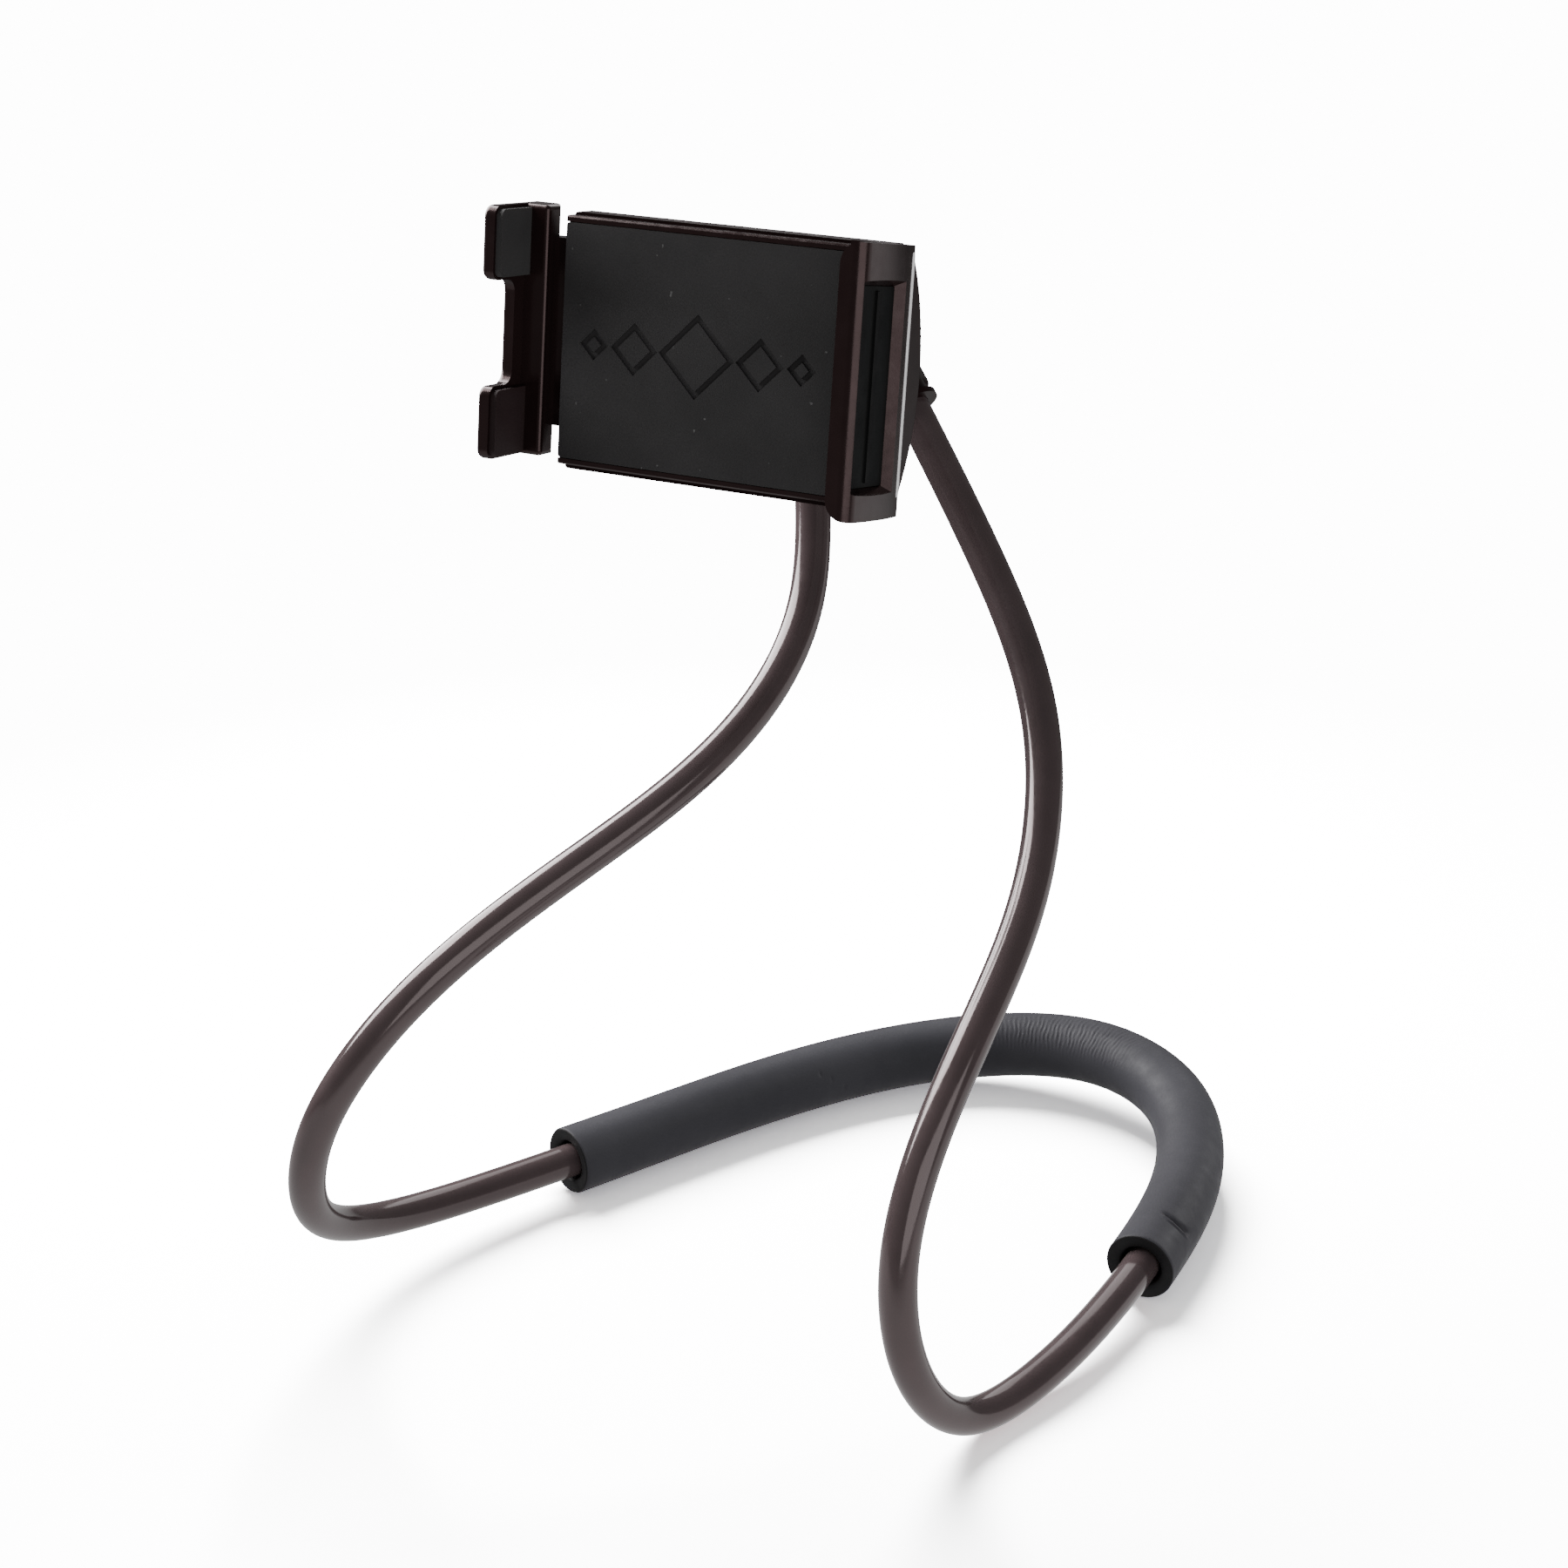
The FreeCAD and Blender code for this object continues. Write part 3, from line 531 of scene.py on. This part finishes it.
# Height of the foam's skin above its plain round form, at a length along it and at angles round it
def foam_skin(length, turn):
    about = np.radians(turn)
    twist = np.sin(length / SWELL["twist"] + 2 * about)
    height = SWELL["height"] * twist * np.sin(length / SWELL["beat"] + SWELL["phase"])
    w = WRINKLES
    if w["from"] < length < w["to"]:
        patch = within(length, w["from"], w["to"], w["fade_along"])
        patch = patch * within(turn, w["low"], w["high"], w["fade_round"])
        drift = sum(share * np.sin(about * waves + length * per_mm) for share, waves, per_mm in SWAY_WAVES)
        one, other = (np.sin(about * waves + length * per_mm) for waves, per_mm in BREAK_WAVES)
        broken = 0.5 + 0.5 * one * other
        fold = np.sin(2 * np.pi * length / w["spacing"] + drift * w["sway"])
        height = height + w["depth"] * patch * broken * fold
    c = CREASE
    if abs(length - c["at"]) < c["reach"]:
        off = (turn - c["mid"]) / c["half"]
        gap = length - c["at"] - c["bow"] * (1 - off ** 2)
        patch = within(turn, c["mid"] - c["half"], c["mid"] + c["half"], c["fade"])
        wide = c["narrow"] + c["widening"] * np.clip(0.5 - off / 2, 0, 1)
        height = height - c["depth"] * patch * np.exp(-((gap + wide) / wide) ** 2 / 2)
        height = height + c["lip"] * patch * np.exp(-((gap - c["lip_at"]) / c["lip_half"]) ** 2 / 2)
    for at, angle in DENTS:
        away = np.hypot(length - at, np.radians((turn - angle + 180) % 360 - 180) * PAD_R)
        height = height - DENT_DEPTH * np.exp(-(away / DENT_R) ** 2)
    return height


# Places of the skin's rings, close together where there are marks
def pad_lengths(end):
    places = []
    length = PAD_EDGE
    while length < end - PAD_EDGE:
        places.append(length)
        wrinkled = WRINKLES["from"] < length < WRINKLES["to"]
        creased = abs(length - CREASE["at"]) < CREASE["reach"]
        dented = DENTS_SPAN[0] < length < DENTS_SPAN[1]
        length += PAD_STEP * (PAD_FINE if wrinkled or creased or dented else PAD_COARSE)
    return places + [end - PAD_EDGE]


def make_pad():
    course = neck_course(PAD_STEP)
    past = round(PAD_PAST / PAD_STEP)
    path = course[nearest(course, PAD_FROM) - past:nearest(course, PAD_TO) + 1]
    frames = ring_frames(path)
    lengths = along_path(path)
    end = lengths[-1]
    turn = 360 * np.arange(PAD_SIDES) / PAD_SIDES
    angles = np.radians(turn)

    def ring(length, radius):
        i = int(np.argmin(np.abs(lengths - length)))
        return ring_of(path[i], frames[i], angles, radius)

    rounding = [(PAD_EDGE * (1 - math.cos(a)), PAD_EDGE * (1 - math.sin(a)))
                for a in np.radians(PAD_EDGE_ANGLES)]
    rings = [ring(inward, PAD_R - lower) for inward, lower in rounding]
    rings += [ring(length, PAD_R + foam_skin(length, turn)) for length in pad_lengths(end)]
    rings += [ring(end - inward, PAD_R - lower) for inward, lower in reversed(rounding)]
    skin = slice(PAD_CUT_BANDS * PAD_SIDES, (len(rings) - 1 - PAD_CUT_BANDS) * PAD_SIDES)
    rings += [ring(end - inward, radius) for inward, radius in PAD_DISH]
    bore = np.arange(end - PAD_BORE_FROM, PAD_BORE_FROM, -PAD_BORE_STEP)
    rings += [ring(length, PAD_BORE_R) for length in bore]
    rings += [ring(inward, radius) for inward, radius in reversed(PAD_DISH)]
    pad = tube("neck_foam", rings, looped=True)
    # Cut ends and bore take the darker foam with painted shade; the skin takes the plain foam
    pad.data.materials.append(shaded_foam_look)
    pad.data.materials.append(foam_look)
    for face in pad.data.polygons[skin]:
        face.material_index = 1
    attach(pad, "loop")
    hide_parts("neck_pad")
    return pad


# Places on the clamp and on its ball stud, in the frame's millimetres
def on_clamp(points):
    x, y, z = np.array(points, float).T
    lean = math.radians(CLAMP_TILT)
    return np.c_[x, y * math.cos(lean) + z * math.sin(lean),
                 CLAMP_HEIGHT - y * math.sin(lean) + z * math.cos(lean)] + DRAWN_ORIGIN


def on_stud(points):
    x, y, z = np.array(points, float).T
    roll, pitch = math.radians(STUD_ROLL), math.radians(STUD_PITCH)
    x, z = x * math.cos(roll) - z * math.sin(roll), x * math.sin(roll) + z * math.cos(roll)
    y, z = y * math.cos(pitch) + z * math.sin(pitch), z * math.cos(pitch) - y * math.sin(pitch)
    return np.c_[x, y, z] + on_clamp([BALL])[0]


# Pan-head screw with a cross recess: its seat is at the origin and its head rises along +Y
def screw_shape(length):
    angles = angles_round(SCREW_SIDES)
    rings = [(0.0, -length), (SCREW_R * SCREW_TIP_SHARE, -length), (SCREW_R, SCREW_TIP_L - length),
             (SCREW_R, 0.0), (SCREW_HEAD_R, 0.0)]
    rings += [(SCREW_HEAD_R - inward, SCREW_HEAD_T - lower) for inward, lower in SCREW_HEAD_EDGE]
    below_top = len(rings)
    rings += [(r, SCREW_HEAD_T) for r in np.linspace(SCREW_HEAD_R - SCREW_TOP_IN, 0.0, SCREW_TOP_RINGS)]
    vertices = []
    for i, (radius, height) in enumerate(rings):
        x, z = radius * np.cos(angles), radius * np.sin(angles)
        y = np.full(SCREW_SIDES, height)
        if i >= below_top:
            across, out = np.minimum(abs(x), abs(z)), np.maximum(abs(x), abs(z))
            in_arm = (1 - rise(across, *RECESS_SIDE)) * (1 - rise(out, *RECESS_END))
            y -= RECESS_DEPTH * in_arm * (1 - RECESS_RISE * radius)
        vertices.append(np.c_[x, y, z])
    return np.vstack(vertices), [(a, d, c, b) for a, b, c, d in bands(len(rings), SCREW_SIDES)]


def make_screws(name, body, replaced, length, places, placed):
    points, faces = screw_shape(length)
    vertices = []
    all_faces = []
    for place in places:
        all_faces += shifted(faces, len(vertices))
        vertices += list(placed(points + np.array(place)))
    screws = mesh_object(name, vertices, all_faces)
    weld(screws)
    screws.data.materials.append(steel_look)
    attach(screws, body)
    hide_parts(replaced)


# Close-wound springs with an eye at each end, drawn as one fixed mesh; on the holder they stretch as the jaw
# slides out
def make_springs():
    angles = angles_round(SPRING_SIDES)
    vertices = []
    faces = []
    first, last = SPRING_ENDS
    pitch = 2 * SPRING_WIRE_R
    for z in SPRING_Z:
        turns = (last - first - 2 * SPRING_EYE) / pitch
        t = np.arange(0, turns, 1 / SPRING_STEPS)
        coil = np.c_[first + SPRING_EYE + pitch * t, SPRING_Y + SPRING_R * np.cos(2 * np.pi * t),
                     z + SPRING_R * np.sin(2 * np.pi * t)]
        bend = np.linspace(-EYE_HALF_TURN, EYE_HALF_TURN, EYE_POINTS) * np.pi
        flat = np.ones(EYE_POINTS)
        pin_eye = np.c_[first - PIN_EYE_R * np.cos(bend), SPRING_Y + PIN_EYE_R * np.sin(bend), z * flat]
        post_eye = np.c_[last + POST_EYE_R * np.cos(bend), SPRING_Y * flat, z + POST_EYE_R * np.sin(bend)]
        wire = np.vstack([pin_eye, coil, post_eye])
        rings = [on_clamp(ring_of(c, f, angles, SPRING_WIRE_R)) for c, f in zip(wire, ring_frames(wire))]
        count = len(rings)
        faces += shifted(bands(count, SPRING_SIDES) + flat_ends(count, SPRING_SIDES), len(vertices))
        vertices += [point for ring in rings for point in ring]
    springs = mesh_object("jaw_spring_coils", vertices, faces)
    springs.data.materials.append(steel_look)
    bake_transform(springs)
    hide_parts("jaw_springs")


# Pale strip that paints the highlight along the back edge of the fixed jaw's bowed side
def make_highlight_strip():
    across = np.linspace(-1, 1, HIGHLIGHT_POINTS)
    y = HIGHLIGHT_Y + HIGHLIGHT_HALF * across
    surface = JAW_BOW_X + np.sqrt(JAW_BOW_R ** 2 - (y - JAW_BOW_Y) ** 2)
    low, high = HIGHLIGHT_ENDS
    body = np.linspace(low + HIGHLIGHT_BODY_IN, high - HIGHLIGHT_BODY_IN, HIGHLIGHT_BODY_RINGS)
    rings = []
    for z in np.r_[low + HIGHLIGHT_END_RINGS, body, high - HIGHLIGHT_END_RINGS[::-1]]:
        share = math.sqrt(rise(min(z - low, high - z), *HIGHLIGHT_FADE))
        crown = HIGHLIGHT_RISE * share * np.sqrt(np.clip(1 - across ** 2, 0, 1))
        level = np.full(HIGHLIGHT_POINTS, z)
        top = np.c_[surface + crown, y, level]
        under = np.c_[surface[::-1] - HIGHLIGHT_SINK, y[::-1], level]
        rings.append(on_clamp(np.vstack([top, under])))
    painted_strip = tube("jaw_painted_highlight", rings)
    weld(painted_strip)
    painted_strip.data.materials.append(highlight_strip_look)
    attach(painted_strip, "clamp")


make_sleeve()
pad = make_pad()
make_screws("shell_screw_set", "clamp", "shell_screws", SHELL_SCREW_L,
            [(x, SHELL_SCREW_SEAT, z) for x, z in SHELL_SCREWS], on_clamp)
make_screws("connector_screw_set", "loop", "connector_screws", CONNECTOR_SCREW_L,
            [(0, CONNECTOR_SCREW_SEAT, z) for z in CONNECTOR_SCREWS], on_stud)
make_springs()
make_highlight_strip()


# Studio: pale floor, soft light, the photograph's camera
def make_floor():
    corners = [np.array(c) * FLOOR_HALF_M / MM for c in ((-1, -1, 0), (1, -1, 0), (1, 1, 0), (-1, 1, 0))]
    floor = mesh_object("floor", corners, [(0, 1, 2, 3)])
    floor.location.z = -FLOOR_DROP_M
    material, tree, shader = new_material("pale_floor")
    at = object_coords(tree)
    place = add(tree, "ShaderNodeSeparateXYZ")
    tree.links.new(at, place.inputs["Vector"])
    x, y = place.outputs["X"], place.outputs["Y"]
    side = between(tree, slanted(tree, y, SIDE_SLANT, x), FLOOR_GLOW_LEFT, FLOOR_GLOW_RIGHT, *SIDE_RAMP)
    front = between(tree, slanted(tree, x, FRONT_SLANT, y), FLOOR_GLOW_FRONT, 1, *FRONT_RAMP)
    glow = add(tree, "ShaderNodeMath", operation="MULTIPLY")
    tree.links.new(side, glow.inputs[0])
    tree.links.new(front, glow.inputs[1])
    to_part = add(tree, "ShaderNodeEmission")
    tree.links.new(glow.outputs["Value"], to_part.inputs["Strength"])
    near = add(tree, "ShaderNodeBsdfDiffuse", Color=(*[FLOOR_TO_CAMERA] * 3, 1))
    plain = add(tree, "ShaderNodeEmission", Strength=BACKDROP_GLOW)
    reach = add(tree, "ShaderNodeVectorMath", operation="LENGTH")
    tree.links.new(at, reach.inputs[0])
    away = between(tree, reach.outputs["Value"], 0, 1, *FLOOR_FADE)
    to_camera = shader_mix(tree, away, near.outputs["BSDF"], plain.outputs["Emission"])
    rays = add(tree, "ShaderNodeLightPath")
    either = shader_mix(tree, rays.outputs["Is Camera Ray"], to_part.outputs["Emission"], to_camera)
    tree.links.new(either, tree.nodes["Material Output"].inputs["Surface"])
    tree.nodes.remove(shader)
    floor.data.materials.append(material)
    return floor


def make_panel(name, bearing, height, distance, width, tall, glow):
    turn, lift = math.radians(bearing), math.radians(height)
    way = Vector((math.cos(lift) * math.cos(turn), math.cos(lift) * math.sin(turn), math.sin(lift)))
    data = bpy.data.lights.new(name, "AREA")
    data.shape = "RECTANGLE"
    data.size = width
    data.size_y = tall
    data.energy = glow * math.pi * width * tall
    panel = bpy.data.objects.new(name, data)
    panel.location = Vector(PANELS_AIM) + way * distance
    panel.rotation_euler = way.to_track_quat("Z", "Y").to_euler()
    panel.visible_camera = False
    bpy.context.scene.collection.objects.link(panel)
    return panel


def make_world():
    world = bpy.data.worlds.new("studio")
    bpy.context.scene.world = world
    world.use_nodes = True
    tree = world.node_tree
    sky = tree.nodes["Background"]
    sky.inputs["Color"].default_value = (1, 1, 1, 1)
    rays = add(tree, "ShaderNodeLightPath")
    seen = add(tree, "ShaderNodeMix", data_type="FLOAT")
    tree.links.new(rays.outputs["Is Camera Ray"], seen.inputs["Factor"])
    seen.inputs["A"].default_value = ROOM_GLOW
    seen.inputs["B"].default_value = BACKDROP_GLOW
    tree.links.new(seen.outputs["Result"], sky.inputs["Strength"])


def make_camera():
    data = bpy.data.cameras.new("camera")
    data.lens = CAMERA_LENS
    data.sensor_width = CAMERA_SENSOR
    data.clip_end = CAMERA_FAR_M
    camera = bpy.data.objects.new("camera", data)
    camera.location = CAMERA_AT
    camera.rotation_euler = [math.radians(a) for a in CAMERA_TURN]
    bpy.context.scene.collection.objects.link(camera)
    bpy.context.scene.camera = camera


# Named set of one piece, for the panels that light only that piece or all but that piece
def lit_set(name, piece, state="INCLUDE"):
    pieces = bpy.data.collections.new(name)
    pieces.objects.link(piece)
    pieces.collection_objects[0].light_linking.link_state = state
    return pieces


floor = make_floor()
make_world()
LIGHTING = (
    (PANELS, lit_set("not_floor", floor, "EXCLUDE")),
    (FOAM_PANELS, lit_set("only_foam", pad)),
    (FLOOR_PANELS, lit_set("only_floor", floor)),
)
for panels, pieces in LIGHTING:
    for name, panel in panels.items():
        make_panel(name, *panel).light_linking.receiver_collection = pieces
make_camera()
